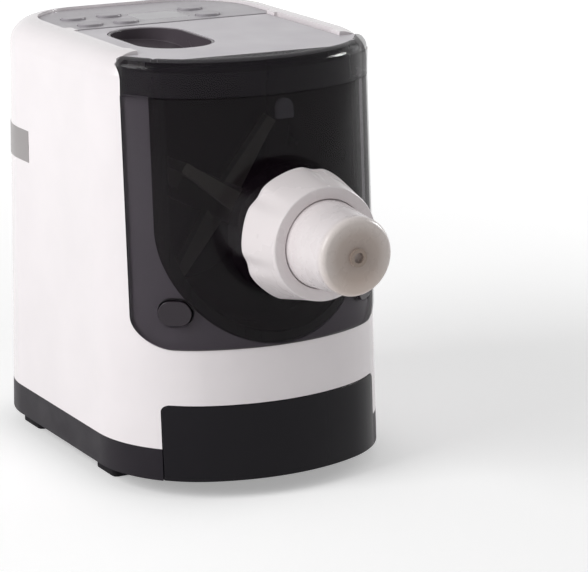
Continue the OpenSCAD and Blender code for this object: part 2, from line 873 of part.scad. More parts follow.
module pouring_tray() color("#2a272c") place() {
    low = deck_z - tray_deep;
    difference() {
        translate([0, 0, low]) linear_extrude(deck_z - 0.6 - low) pour_outline(-0.2);
        // two floors that fall towards a slot across the middle
        intersection() {
            translate([0, 0, low + 2]) linear_extrude(40) pour_outline(-2.2);
            for (s = [-1, 1]) translate([pour_x, pour_y, low + 2]) rotate([0, 0, tray_turn])
                rotate([s * tray_fall, 0, 0]) translate([-pour_l, s < 0 ? -pour_l : 0, 0])
                    cube([2 * pour_l, pour_l, 60]);
        }
        translate([pour_x, pour_y, low - 1]) rotate([0, 0, tray_turn]) linear_extrude(20)
            slot(tray_slot[0], tray_slot[1]);
    }
}

module lid_hinge_pins() color("silver") place() both_sides()
    on_hinge(lid_half - pin_hold) cylinder(h = pin_hold + groove_w, r = pin_r);

module lid_magnet() color("#8d8f94") place()
    translate([magnet_at[0], magnet_at[1], ledge_z - web_t - magnet_size[1]])
        cylinder(h = magnet_size[1], r = magnet_size[0]);

module reed_switch() color("#d8d2c4") place()
    translate([0, 0, shoulder_z]) rotate([-front_lean, 0, 0]) arc_centre(1) rotate([0, 0, switch_turn])
        translate([-switch_size[0] / 2, 0.15 - frame_inner_r, -switch_size[2] - 1]) cube(switch_size);

// ---------------------------------------------------------------- controls

module at_button(column, row) { translate([button_columns[column], button_rows[row], 0]) children(); }

module control_panel() color("#77777b") place() {
    difference() {
        translate([0, 0, ledge_z]) linear_extrude(plate_t) control_outline();
        for (c = [0 : 2], r = [0 : 1]) at_button(c, r) translate([0, 0, ledge_z - 1])
            linear_extrude(plate_t + 2) slot(button_l + 2 * slide_gap, button_w + 2 * slide_gap);
        translate([display_x, display_y, ledge_z - 1]) linear_extrude(plate_t + 2)
            rounded_rect(display_l - 6, display_w - 6, 4);
        translate([display_x, display_y, deck_z - display_t]) linear_extrude(2)
            rounded_rect(display_l, display_w, 6);
    }
    // screw posts for the circuit board
    for (x = post_x, y = post_y)
        translate([x, y, board_z + board_t]) difference() {
            cylinder(h = ledge_z - board_z - board_t + eps, r = 2.5);
            translate([0, 0, -1]) cylinder(h = 6, r = 1.2);
        }
}

module display_window() color("#4a4a4f") place()
    translate([display_x, display_y, deck_z - display_t]) linear_extrude(display_t)
        rounded_rect(display_l - 0.2, display_w - 0.2, 5.9);

module control_board() color("#2f5d3a") place() {
    translate([26 - control_half, control_front + 3, board_z])
        cube([2 * control_half - 52, control_rear - control_front - 12, board_t]);
    // push switches under the buttons, and the display's module
    for (c = [0 : 2], r = [0 : 1]) at_button(c, r) translate([-3, -3, board_z + board_t]) cube([6, 6, key_h]);
    translate([display_x - 15, display_y - 10, board_z + board_t]) cube([30, 20, 6]);
}

module button(column, row) {
    at_button(column, row) {
        translate([0, 0, ledge_z + 0.6]) linear_extrude(deck_z + 1 - ledge_z) slot(button_l, button_w);
        translate([0, 0, ledge_z - 2]) linear_extrude(2 - button_travel / 4 + eps)
            slot(button_l + 3, button_w + 3);
        translate([0, 0, ledge_z - 1]) linear_extrude(2) slot(button_l - 2, button_w - 2);
        translate([0, 0, board_z + board_t + key_h + button_travel + 0.3]) cylinder(h = 6, r = 2.5);
    }
}
module power_button() color("#6f6f73") place() button(0, 1);
module start_button() color("#6f6f73") place() button(0, 0);
module weight_button() color("#6f6f73") place() button(1, 1);
module program_button() color("#6f6f73") place() button(1, 0);
module extrude_button() color("#6f6f73") place() button(2, 1);
module timer_button() color("#6f6f73") place() button(2, 0);

// ---------------------------------------------------------------- drawer

module drawer_front() color("#1d1b22") place() {
    front_sheet(-0.4, drawer_t, drawer_low, drawer_top)
        translate([0, drawer_top - 40]) rounded_rect(drawer_w, 80, 4.5);
}

module drawer_tray() color("#2a2930") place() {
    difference() {
        intersection() {
            front_solid(drawer_t, tray_floor, tray_top);
            translate([-tray_half, -far / 4, tray_floor])
                cube([2 * tray_half, far / 4 + tray_back, tray_top - tray_floor]);
        }
        intersection() {
            front_solid(drawer_t + tray_t, tray_floor + tray_t, body_h);
            translate([-tray_half + tray_t, -far / 4, tray_floor + tray_t])
                cube([2 * (tray_half - tray_t), far / 4 + tray_back - tray_t, body_h]);
        }
    }
    // side rails that ride on the runners
    both_sides() translate([tray_half - eps, runner_y + 6, rail_z])
        cube([rail_w + eps, tray_back - runner_y - 6, 2.5]);
}

module drawer_runners() color("#46464b") place() both_sides() {
    runner_x = tray_half + slide_gap;
    runner_l = chamber_d - runner_y - 2;
    floor_z = foot_h + wall;
    translate([runner_x, runner_y, floor_z]) cube([rail_w, runner_l, rail_z - slide_gap - floor_z]);
    translate([runner_x + rail_w, runner_y, floor_z]) cube([2, runner_l, rail_z + 6 - floor_z]);
}

// ---------------------------------------------------------------- chassis and drive

module chassis() color("#55565a") place() {
    floor_z = foot_h + wall;
    top_z = board_z - 4;
    cheek_h = axis_z - seam_z;
    difference() {
        union() {
            translate([-chassis_half, bulkhead_y, floor_z])
                cube([2 * chassis_half, bulkhead_t, top_z - floor_z]);
            // foot flange and side cheeks
            translate([-chassis_half, bulkhead_y, floor_z]) cube([2 * chassis_half, cheek_d, cheek_t]);
            both_sides() translate([chassis_half - cheek_t, bulkhead_y, floor_z]) rotate([90, 0, 90])
                linear_extrude(cheek_t) polygon([[0, 0], [cheek_d, 0], [cheek_d, cheek_d],
                    [bulkhead_t, cheek_h], [0, cheek_h]]);
        }
        // room for the seal's boss, and two holes for the cables
        translate([0, bulkhead_y - 1, axis_z]) rotate([-90, 0, 0])
            cylinder(h = bulkhead_t + 2, r = seal_r + 3);
        for (x = [-60, 60]) translate([x, bulkhead_y - 1, 70]) rotate([-90, 0, 0])
            cylinder(h = bulkhead_t + 2, r = 12);
    }
}

// Outline of a gearbox plate: round about the output shaft, narrowing to the motor
module gearbox_outline() {
    translate([0, axis_z]) circle(plate_round);
    translate([idler_x, idler_z]) circle(module_1 * wheel_teeth / 2 + 11);
    translate([motor_x, motor_z]) circle(motor_r + 3);
    translate([-motor_r - 3, motor_z]) square([2 * motor_r + 6, axis_z - motor_z]);
}

module gearbox_plate(y0) {
    along_y(y0, y0 + plate_thick) difference() {
        gearbox_outline();
        translate([0, axis_z]) circle(bearing_r);
        translate([idler_x, idler_z]) circle(idler_r);
        children();
    }
}

module gearbox_front_plate() color("#9a9ca0") place() gearbox_plate(gearbox_y);
module gearbox_rear_plate() color("#9a9ca0") place() gearbox_plate(rear_plate_y)
    translate([motor_x, motor_z]) circle(module_1 * pinion_teeth / 2 + 3);

module gearbox_pillars() color("#b8bac0") place()
    for (p = pillar_at) translate([p[0], gearbox_y + plate_thick, p[1]]) rotate([-90, 0, 0])
        cylinder(h = rear_plate_y - gearbox_y - plate_thick, r = pillar_r);

module bearing(y0) {
    turned() translate([shaft_r + run_gap, y0]) square([bearing_r - shaft_r - run_gap, plate_thick]);
}
module front_bearing() color("#b58a4a") place() bearing(gearbox_y);
module rear_bearing() color("#b58a4a") place() bearing(rear_plate_y);

module idler_pin() color("silver") place()
    translate([idler_x, gearbox_y, idler_z]) rotate([-90, 0, 0])
        cylinder(h = motor_y - gearbox_y, r = idler_r);

// Involute spur gear outline with a tooth centred on +X
function flank_turn(t) = t - atan(t * PI / 180);
module gear_outline(m, teeth, backlash) {
    pitch_r = m * teeth / 2;
    base_r = pitch_r * cos(pressure);
    tip_r = pitch_r + 0.85 * m;
    root_r = pitch_r - 1.15 * m;
    steps = 4;
    start = root_r > base_r ? sqrt(pow(root_r / base_r, 2) - 1) * 180 / PI : 0;
    end = sqrt(pow(tip_r / base_r, 2) - 1) * 180 / PI;
    half = 90 / teeth - backlash / pitch_r * 90 / PI + tan(pressure) * 180 / PI - pressure;
    function flank(i) = start + (end - start) * i / steps;
    function point(i, side, turn) = let (t = flank(i), a = turn + side * (half - flank_turn(t)),
        r = base_r * sqrt(1 + pow(t * PI / 180, 2))) [r * cos(a), r * sin(a)];
    polygon([for (k = [0 : teeth - 1]) let (turn = k * 360 / teeth) each concat(
        root_r < base_r ? [[root_r * cos(turn - half), root_r * sin(turn - half)]] : [],
        [for (i = [0 : steps]) point(i, -1, turn)],
        [for (i = [steps : -1 : 0]) point(i, 1, turn)],
        root_r < base_r ? [[root_r * cos(turn + half), root_r * sin(turn + half)]] : [])]);
}

// A gear in the X-Z plane at (x, z), its first tooth turned to the angle phase
module gear(x, z, y0, face, m, teeth, phase) {
    translate([x, 0, z]) along_y(y0, y0 + face) rotate(phase) gear_outline(m, teeth, tooth_play);
}

module output_gear() color("#e6e1d3") place() difference() {
    gear(0, axis_z, output_gear_y, output_face, module_2, wheel_teeth, idler_angle);
    translate([0, output_gear_y - 1, axis_z]) rotate([-90, 0, 0])
        cylinder(h = output_face + 2, r = shaft_r);
    for (a = [0 : 60 : 300]) translate([0, output_gear_y - 1, axis_z]) rotate([0, a, 0])
        translate([29, 0, 0]) rotate([-90, 0, 0]) cylinder(h = output_face + 2, r = 9);
}

module compound_gear() color("#e6e1d3") place() difference() {
    union() {
        gear(idler_x, idler_z, output_gear_y - 0.5, output_face + gear_side + 0.5 + eps, module_2,
            pinion_teeth, idler_angle + 180 + pinion_pitch / 2);
        gear(idler_x, idler_z, wheel_y, wheel_face, module_1, wheel_teeth, motor_angle);
    }
    translate([idler_x, 0, idler_z]) rotate([-90, 0, 0]) cylinder(h = far, r = idler_r + run_gap);
    for (a = [0 : 72 : 288]) translate([idler_x, wheel_y - 1, idler_z]) rotate([0, a, 0])
        translate([23, 0, 0]) rotate([-90, 0, 0]) cylinder(h = wheel_face + 2, r = 6);
}

module motor_pinion() color("#b9bbc1") place() difference() {
    gear(motor_x, motor_z, wheel_y - 0.5, wheel_face + 1, module_1, pinion_teeth,
        motor_angle + 180 + pinion_pitch / 2);
    at_motor(0) cylinder(h = far, r = rotor_shaft_r);
}

module at_motor(y) { translate([motor_x, y, motor_z]) rotate([-90, 0, 0]) children(); }

module motor_stator() color("#7d7f86") place() {
    difference() {
        at_motor(stator_y) cylinder(h = motor_l, r = motor_r);
        at_motor(stator_y - 1) cylinder(h = motor_l + 2, r = rotor_r + 0.6);
        // winding slots
        for (a = [0 : 45 : 315]) at_motor(stator_y - 1) rotate([0, 0, a]) translate([rotor_r, -3.5, 0])
            cube([7, 7, motor_l + 2]);
    }
}

module motor_bell(y0) {
    difference() {
        at_motor(y0) cylinder(h = bell_l, r = motor_r);
        children();
    }
}
module motor_front_bell() color("#a9abb0") place() motor_bell(motor_y) {
    at_motor(motor_y + 3) cylinder(h = bell_l, r = motor_r - 3);
    at_motor(0) cylinder(h = far, r = rotor_shaft_r + run_gap);
}
module motor_rear_bell() color("#a9abb0") place() motor_bell(rear_bell_y) {
    at_motor(rear_bell_y - 1) cylinder(h = bell_l - 2, r = motor_r - 3);
    at_motor(0) cylinder(h = far, r = rotor_shaft_r + run_gap);
    for (a = [0 : 60 : 300]) at_motor(rear_bell_y) rotate([0, 0, a]) translate([20, 0, -1])
        cylinder(h = bell_l + 2, r = 5);
}

module motor_bolts() color("silver") place() for (a = [45 : 90 : 315]) {
    bolt_l = rear_bell_y + bell_l - motor_y;
    at_motor(motor_y) rotate([0, 0, a]) translate([motor_r + bolt_r, 0, 0]) {
        cylinder(h = bolt_l, r = bolt_r);
        translate([0, 0, bolt_l]) cylinder(h = 2, r = 3);
    }
}

module motor_rotor() color("#8a6a4a") place() {
    at_motor(stator_y + 1) cylinder(h = motor_l - 2, r = rotor_r);
    at_motor(wheel_y - 1) cylinder(h = fan_y + fan_l - wheel_y + 1, r = rotor_shaft_r);
}

module cooling_fan() color("#e9e9ec") place() difference() {
    union() {
        at_motor(fan_y) cylinder(h = fan_l, r = 9);
        at_motor(fan_y) cylinder(h = 1.5, r = motor_r - 4);
        for (a = [0 : 40 : 320]) at_motor(fan_y) rotate([0, 0, a]) translate([6, -0.8, 0])
            cube([motor_r - 10, 1.6, fan_l - 1]);
    }
    at_motor(0) cylinder(h = far, r = rotor_shaft_r);
}

module power_board() color("#2f5d3a") place()
    translate([cheek_t - chassis_half, gearbox_y, seam_z + 20]) {
    cube([board_t, 52, 80]);
    // transformer, capacitor and relay
    translate([board_t - eps, 6, 10]) cube([18, 22, 24]);
    translate([board_t - eps, 40, 20]) rotate([0, 90, 0]) cylinder(h = 22, r = 7);
    translate([board_t - eps, 8, 50]) cube([12, 30, 18]);
}

// ---------------------------------------------------------------- mixer and extruder

module hexagon(y0, y1, r) {
    translate([0, y0, axis_z]) rotate([-90, 0, 0]) cylinder(h = y1 - y0, r = r, $fn = 6);
}

module output_shaft() color("silver") place() {
    translate([0, chamber_d - 4, axis_z]) rotate([-90, 0, 0])
        cylinder(h = motor_y - chamber_d + 4, r = shaft_r);
    hexagon(70, chamber_d - 4 + eps, hex_r);
}

module mixing_paddle() color("#d9d7d2") place() {
    difference() {
        union() {
            translate([0, hub_y[0], axis_z]) rotate([-90, 0, 0])
                cylinder(h = hub_y[1] - hub_y[0], r = hub_r);
            for (a = [35, 215]) translate([0, 0, axis_z]) rotate([0, a, 0]) {
                for (y = [34, 128]) translate([0, y, 0]) paddle_arm();
                translate([0, 30, 0]) along_y(0, 110) translate([paddle_r - 6, -3]) square([6, 6]);
            }
            for (a = [125, 305]) translate([0, 84, axis_z]) rotate([0, a, 0]) paddle_arm();
        }
        hexagon(0, chamber_d, hex_r + 0.02);
    }
}
module paddle_arm() {
    along_y(-4, 4) polygon([[0, -8], [paddle_r - 10, -4], [paddle_r - 1, -4],
        [paddle_r - 1, 4], [paddle_r - 10, 4], [0, 8]]);
}

module auger() color("#c9c7c2") place() {
    length = auger_back - barrel_front - 1;
    turns = length / screw_lead;
    translate([0, auger_back, axis_z]) rotate([90, 0, 0]) linear_extrude(length, twist = -360 * turns,
        slices = ceil(turns * 16), segments = 20) {
        circle(auger_core_r, $fn = 16);
        polygon(concat([[0, 0]], [for (a = [-12 : 12 : 12]) flight_r * [cos(a), sin(a)]]));
    }
    hexagon(auger_back - eps, auger_back + 24, hex_r);
}

module spaghetti_die() color("#ece9e6") place() {
    bore = die_root_r - die_wall - 1.5;
    round_y = die_tip_y + die_round_r;
    difference() {
        turned() polygon(concat([[0, flange_y + flange_t], [nut_bore_r - 0.4, flange_y + flange_t],
            [nut_bore_r - 0.4, flange_y], [die_root_r, flange_y], [die_root_r, nut_front_y]],
            [for (a = [0 : 7.5 : 90])
                [die_tip_r + die_round_r * (cos(a) - 1), round_y - die_round_r * sin(a)]],
            [[tip_boss_r, die_tip_y], [tip_boss_r, tip_y], [0, tip_y]]));
        // inside of the cup, and the blind hole in the boss
        turned() polygon([[0, flange_y + flange_t + 1], [bore, flange_y + flange_t + 1], [bore, nut_front_y],
            [die_tip_r - die_wall, round_y + die_wall], [die_tip_r - die_wall - 4, die_tip_y + die_wall + 2],
            [0, die_tip_y + die_wall + 2]]);
        turned() translate([0, tip_y - 1]) square([blind_r, 5]);
        // rows of strand holes along the underside
        for (row = hole_rows, i = [0 : 6])
            translate([0, nut_front_y - 4.5 - hole_pitch * i, axis_z]) rotate([0, row * hole_turn, 0])
                translate([0, 0, -die_root_r - 2]) cylinder(h = 10, d = strand_d);
    }
}

module die_seal() color("#a03c30") place()
    turned() translate([barrel_r + 1, flange_y + flange_t]) square([4, die_seal_t - run_gap]);

module clamp_nut() color("#f2f1ee") place() {
    flats = 8;
    flat_r = (nut_back_r - 1.4) / cos(180 / flats);
    difference() {
        intersection() {
            turned() polygon([[0, nut_front_y], [nut_front_r - 1, nut_front_y],
                [nut_front_r, nut_front_y + 1], [nut_back_r, nut_back_y - 2],
                [nut_back_r - 1.5, nut_back_y], [0, nut_back_y]]);
            translate([0, nut_front_y - 1, axis_z]) rotate([-90, 0, 0]) rotate(11)
                cylinder(h = nut_l + 2, r = flat_r, $fn = flats);
        }
        turned() translate([0, flange_y]) square([nut_bore_r, nut_l]);
        turned() translate([0, nut_front_y - 1]) square([nut_hole_r, nut_l]);
        // hollow between the threaded sleeve and the grip
        difference() {
            turned() polygon([[nut_bore_r + 2.5, nut_back_y + 1], [nut_back_r - 5, nut_back_y + 1],
                [nut_bore_r + 3.5, flange_y + 4], [nut_bore_r + 2.5, flange_y + 4]]);
            for (a = [0 : 45 : 315]) translate([0, nut_back_y - 12, axis_z]) rotate([0, a, 0])
                translate([-1, -20, 0]) cube([2, 40, nut_back_r + 5]);
        }
    }
}

// ---------------------------------------------------------------- assembly

housing_shell();
base_pan();
rubber_feet();
base_screws();
rear_band();
vent_grille();
mains_inlet();
inlet_pins();
chassis();
front_frame();
mixing_chamber();
shaft_seal();
front_panel();
panel_gasket();
lid_catch();
control_panel();
display_window();
control_board();
gearbox_front_plate();
gearbox_rear_plate();
gearbox_pillars();
front_bearing();
rear_bearing();
idler_pin();
motor_stator();
motor_front_bell();
motor_rear_bell();
motor_bolts();
power_board();
reed_switch();
drawer_runners();
lid_plate();
lid_cover();
pouring_tray();
lid_hinge_pins();
lid_magnet();
power_button();
start_button();
weight_button();
program_button();
extrude_button();
timer_button();
release_button_left();
release_button_right();
drawer_tray();
drawer_front();
output_shaft();
output_gear();
mixing_paddle();
auger();
compound_gear();
motor_rotor();
motor_pinion();
cooling_fan();
spaghetti_die();
die_seal();
clamp_nut();
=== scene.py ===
"""Looks of the electric pasta maker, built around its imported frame."""
import json
import math

import bmesh
import bpy
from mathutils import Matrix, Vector


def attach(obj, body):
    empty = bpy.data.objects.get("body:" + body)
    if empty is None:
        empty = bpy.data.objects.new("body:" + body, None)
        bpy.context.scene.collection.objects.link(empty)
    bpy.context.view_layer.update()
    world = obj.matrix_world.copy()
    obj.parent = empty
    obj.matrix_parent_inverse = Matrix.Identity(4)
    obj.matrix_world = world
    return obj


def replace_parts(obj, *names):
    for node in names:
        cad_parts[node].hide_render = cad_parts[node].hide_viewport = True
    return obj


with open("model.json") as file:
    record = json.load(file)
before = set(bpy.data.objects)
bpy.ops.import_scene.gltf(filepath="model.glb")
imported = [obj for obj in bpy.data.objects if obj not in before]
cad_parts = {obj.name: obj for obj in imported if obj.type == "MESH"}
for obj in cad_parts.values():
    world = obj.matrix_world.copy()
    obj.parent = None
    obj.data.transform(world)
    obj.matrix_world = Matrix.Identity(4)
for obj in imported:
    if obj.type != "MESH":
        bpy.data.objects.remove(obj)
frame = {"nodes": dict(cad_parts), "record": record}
NODES = frame["nodes"]
BODY_OF = {node: body for body, members in frame["record"]["behaviour"]["bodies"].items() for node in members}
SLOT_OF = {row["node"]: row["material_slot"] for row in frame["record"]["subparts"]}
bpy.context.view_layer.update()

# The part's own lengths are in millimetres, with y = 0 at the front apex and z = 0 on the table
MM = 0.001
MICRON = 0.000001
Y_SHIFT = -79.64
AXIS_Z = 184


def at(x, y, z):
    """A place in the part's own millimetres, in the frame's metres."""
    return Vector((x, y + Y_SHIFT, z)) * MM


def around_axis(radius, y, angle):
    """A place at radius millimetres from the extruder's axis, in the frame's metres."""
    return at(radius * math.cos(angle), y, AXIS_Z + radius * math.sin(angle))


def between(start, end, share):
    """The value at a share of the way from start to end."""
    return start + (end - start) * share


# ------------------------------------------------------------------ camera
CAMERA_PLACE = (-0.904, -1.7270, 0.63655)
AZIMUTH = math.radians(29.066)
PITCH = math.radians(14.771)
LENS = 176.29
SENSOR_W = 36

look = Vector((math.sin(AZIMUTH) * math.cos(PITCH), math.cos(AZIMUTH) * math.cos(PITCH), -math.sin(PITCH)))
camera = bpy.data.objects.new("camera", bpy.data.cameras.new("camera"))
bpy.context.scene.collection.objects.link(camera)
camera.location = CAMERA_PLACE
camera.rotation_mode = "QUATERNION"
camera.rotation_quaternion = look.to_track_quat("-Z", "Y")
camera.data.sensor_width = SENSOR_W
camera.data.lens = LENS
camera.data.clip_start = 0.05
camera.data.clip_end = 60
bpy.context.scene.camera = camera
bpy.context.scene.view_settings.view_transform = "Standard"

# ------------------------------------------------------------------ shader nodes
WHITE = (1, 1, 1, 1)
# Values of a noise texture that stand for its low and its high blotches
NOISE_LOW, NOISE_HIGH = 0.3, 0.7
BLOTCH_DETAIL = 3.0
# Sockets of the mix node when it mixes colours
MIX_FACTOR, MIX_A, MIX_B, MIX_OUT = 0, 6, 7, 2


def srgb(*levels):
    """Linear opaque colour of display levels from 0 to 255."""
    linear = []
    for level in levels:
        c = level / 255
        linear.append(c / 12.92 if c <= 0.04045 else ((c + 0.055) / 1.055) ** 2.4)
    return tuple(linear) + (1.0,)


def scaled(color, share):
    """A colour made darker or lighter by share, and opaque."""
    return tuple(min(1.0, c * share) for c in color[:3]) + (1.0,)


def add_node(tree, kind, sources=(), inputs=(), **fields):
    """A shader node with its fields and named inputs set, and its first inputs linked to the sources."""
    node = tree.nodes.new(kind)
    for field, value in fields.items():
        setattr(node, field, value)
    for socket, value in dict(inputs).items():
        node.inputs[socket].default_value = value
    for source, socket in zip(sources, node.inputs):
        tree.links.new(source, socket)
    return node


def remap(tree, source, start, end, low=0.0, high=1.0):
    """Values from start to end turned into values from low to high, and held there beyond both."""
    limits = {"From Min": start, "From Max": end, "To Min": low, "To Max": high}
    return add_node(tree, "ShaderNodeMapRange", [source], limits).outputs["Result"]


class Shader:
    """A Principled material whose colour, gloss and relief come from noise in object space."""

    def __init__(self, name, rough, **sockets):
        self.material = bpy.data.materials.new(name)
        self.material.use_nodes = True
        self.tree = self.material.node_tree
        self.bsdf = self.tree.nodes["Principled BSDF"]
        self.place = add_node(self.tree, "ShaderNodeTexCoord").outputs["Object"]
        self.normal = None
        self.bsdf.inputs["Roughness"].default_value = rough
        for key, value in sockets.items():
            socket = key.replace("_", " ").title().replace("Ior", "IOR")
            self.bsdf.inputs[socket].default_value = value

    def noise(self, size, detail, stretch=None):
        """Noise with blotches of about size metres, finer along an axis where stretch says so."""
        place = self.place
        if stretch:
            place = add_node(self.tree, "ShaderNodeMapping", [place], {"Scale": stretch}).outputs["Vector"]
        grain = {"Scale": 1 / size, "Detail": detail}
        return add_node(self.tree, "ShaderNodeTexNoise", [place], grain).outputs["Fac"]

    def ramp(self, source, *stops):
        """Colour ramp through (position, colour) stops."""
        node = add_node(self.tree, "ShaderNodeValToRGB", [source])
        elements = node.color_ramp.elements
        while len(elements) < len(stops):
            elements.new(0.5)
        for element, (position, color) in zip(elements, stops):
            element.position = position
            element.color = color
        return node.outputs["Color"]

    def mix(self, factor, below, above):
        """The socket below, mixed with the colour above by a factor."""
        node = add_node(self.tree, "ShaderNodeMix", data_type="RGBA")
        self.tree.links.new(factor, node.inputs[MIX_FACTOR])
        self.tree.links.new(below, node.inputs[MIX_A])
        node.inputs[MIX_B].default_value = above
        return node.outputs[MIX_OUT]

    def color(self, socket):
        """Takes the base colour from a socket."""
        self.tree.links.new(socket, self.bsdf.inputs["Base Color"])
        return self

    def mottle(self, color, amount, size):
        """Base colour that varies softly by amount."""
        stops = (NOISE_LOW, scaled(color, 1 - amount)), (NOISE_HIGH, scaled(color, 1 + amount))
        return self.color(self.ramp(self.noise(size, BLOTCH_DETAIL), *stops))

    def gloss(self, low, high, size, stretch=None):
        """Roughness that wanders between low and high."""
        wander = remap(self.tree, self.noise(size, BLOTCH_DETAIL, stretch), NOISE_LOW, NOISE_HIGH, low, high)
        self.tree.links.new(wander, self.bsdf.inputs["Roughness"])
        return self

    def relief(self, size, depth, detail=1.0, stretch=None):
        """Fine bumps of about size metres across and depth metres high, on top of those made before."""
        bump = add_node(self.tree, "ShaderNodeBump", inputs={"Distance": depth})
        self.tree.links.new(self.noise(size, detail, stretch), bump.inputs["Height"])
        if self.normal:
            self.tree.links.new(self.normal, bump.inputs["Normal"])
        self.normal = bump.outputs["Normal"]
        self.tree.links.new(self.normal, self.bsdf.inputs["Normal"])
        return self

    def along(self, axis, start, end, top=1.0):
        """0 at start and top at end along an axis, in metres in the frame."""
        split = add_node(self.tree, "ShaderNodeSeparateXYZ", [self.place])
        return remap(self.tree, split.outputs[axis], start, end, high=top)

    def off_axis(self, radius):
        """0 on the extruder's axis and 1 at radius metres from it."""
        flatten = {"Location": (0, 0, -AXIS_Z * MM), "Scale": (1, 0, 1)}
        flat = add_node(self.tree, "ShaderNodeMapping", [self.place], flatten)
        length = add_node(self.tree, "ShaderNodeVectorMath", [flat.outputs["Vector"]], operation="LENGTH")
        return remap(self.tree, length.outputs["Value"], 0, radius)


# ------------------------------------------------------------------ materials
WAVE_SIZE = 50 * MM


def moulded(name, color, rough, texture=0, grain=0.6, **sockets):
    """Moulded plastic with a faint sink-mark wave, and bumps texture microns high and grain mm across."""
    shader = Shader(name, rough, **sockets)
    shader.mottle(color, amount=0.02, size=WAVE_SIZE)
    shader.gloss(rough * 0.85, rough * 1.2, size=30 * MM)
    shader.relief(WAVE_SIZE, depth=60 * MICRON)
    if texture:
        shader.relief(grain * MM, depth=texture * MICRON)
    return shader


def dark(name, color, rough, texture=0, shine=0.16):
    """Moulded black or charcoal plastic, whose skin reflects little of a white room."""
    return moulded(name, color, rough, texture, specular_ior_level=shine)


def smoked(name, color, rough, alpha, shine):
    """Clear smoked plastic with a faint wave."""
    shader = Shader(name, rough, alpha=alpha, specular_ior_level=shine)
    shader.mottle(color, amount=0.12, size=WAVE_SIZE)
    shader.gloss(rough - 0.02, rough + 0.03, size=WAVE_SIZE)
    shader.relief(60 * MM, depth=80 * MICRON)
    return shader


def clear_catch():
    """The clear plastic of the lid's catch."""
    shader = Shader("clear_catch", 0.08, alpha=0.4, specular_ior_level=0.5)
    return shader.mottle(srgb(120, 116, 128), amount=0.1, size=4 * MM)


def metal(name, color, rough, stretch=None, grain=2, depth=10):
    """Metal with marks grain mm long and depth microns deep, finer along an axis where stretch says so."""
    shader = Shader(name, rough, metallic=1.0)
    shader.mottle(color, amount=0.06, size=10 * MM)
    shader.gloss(rough * 0.75, rough * 1.3, size=grain * MM, stretch=stretch)
    shader.relief(grain * MM, depth=depth * MICRON, detail=2.0, stretch=stretch)
    return shader


def milky_die():
    """A milky plastic whose hollow tip is painted taupe in the middle, as shade from inside it, and turns
    beige at the bottom.
    """
    shader = Shader("die_milky", 0.28)
    # Painted shade: taupe on the tip's axis, where its hollow inside shows dark, fading to milky white 30 mm
    # out
    painted_shade_to_milk = (0.22, srgb(160, 143, 131)), (0.5, srgb(178, 162, 151)), (0.8, srgb(226, 216, 210))
    tip = shader.ramp(shader.off_axis(30 * MM), *painted_shade_to_milk)
    downwards = shader.along("Z", 178 * MM, 158 * MM, top=0.4)
    tip = shader.mix(downwards, tip, srgb(206, 172, 142))
    behind_tip = shader.along("Y", (Y_SHIFT - 106.16) * MM, (Y_SHIFT - 97.86) * MM)
    shader.color(shader.mix(behind_tip, tip, srgb(233, 226, 227)))
    return shader.gloss(0.24, 0.34, size=8 * MM)


MATERIAL = {}

# Casing, seen from outside
MATERIAL["housing_shell"] = moulded("body_white", srgb(243, 237, 239), 0.2, coat_weight=0.15,
                                    coat_roughness=0.06)
MATERIAL["base_pan"] = dark("base_charcoal", srgb(34, 30, 36), 0.42, 20)
MATERIAL["rubber_feet"] = dark("rubber_black", srgb(24, 22, 26), 0.75, 40)
MATERIAL["rear_band"] = moulded("band_grey", srgb(148, 143, 143), 0.34)
MATERIAL["vent_grille"] = dark("grille_charcoal", srgb(52, 50, 54), 0.5, 30)
MATERIAL["mains_inlet"] = dark("inlet_black", srgb(30, 29, 32), 0.45, 20)
MATERIAL["inlet_pins"] = metal("nickel_pin", (0.72, 0.68, 0.6), 0.25)
MATERIAL["base_screws"] = metal("zinc_plate", (0.62, 0.62, 0.6), 0.35)
MATERIAL["drawer_front"] = dark("drawer_black", srgb(18, 15, 21), 0.2)
MATERIAL["drawer_tray"] = dark("tray_charcoal", srgb(46, 44, 49), 0.5, 20)
MATERIAL["drawer_runners"] = dark("runner_charcoal", srgb(62, 61, 65), 0.5, 20)

# Front panel, lid and controls
MATERIAL["front_panel"] = smoked("smoked_panel", srgb(20, 13, 19), 0.06, alpha=0.44, shine=0.2)
MATERIAL["front_frame"] = moulded("frame_grey", srgb(192, 180, 196), 0.4, 20)
MATERIAL["panel_gasket"] = dark("gasket_black", srgb(10, 8, 10), 0.5, 10, shine=0.15)
MATERIAL["release_button"] = dark("release_dark", srgb(44, 37, 44), 0.16, shine=0.3)
MATERIAL["lid_cover"] = smoked("smoked_skirt", srgb(21, 14, 23), 0.05, alpha=0.5, shine=0.22)
MATERIAL["lid_catch"] = clear_catch()
MATERIAL["lid_plate"] = moulded("lid_grey", srgb(198, 193, 199), 0.34, 4, grain=0.5)
MATERIAL["lid_hinge_pins"] = metal("ground_steel", (0.6, 0.6, 0.62), 0.22, (1, 12, 12))
MATERIAL["lid_magnet"] = metal("magnet_plate", (0.4, 0.4, 0.42), 0.2)
MATERIAL["pouring_tray"] = dark("tray_smoke", srgb(84, 77, 83), 0.24)
MATERIAL["control_panel"] = moulded("control_grey", srgb(177, 173, 178), 0.38, 6, grain=0.5)
MATERIAL["display_window"] = moulded("display_dark", srgb(150, 147, 152), 0.2)
MATERIAL["button"] = moulded("button_grey", srgb(166, 162, 167), 0.36, 6, grain=0.5)

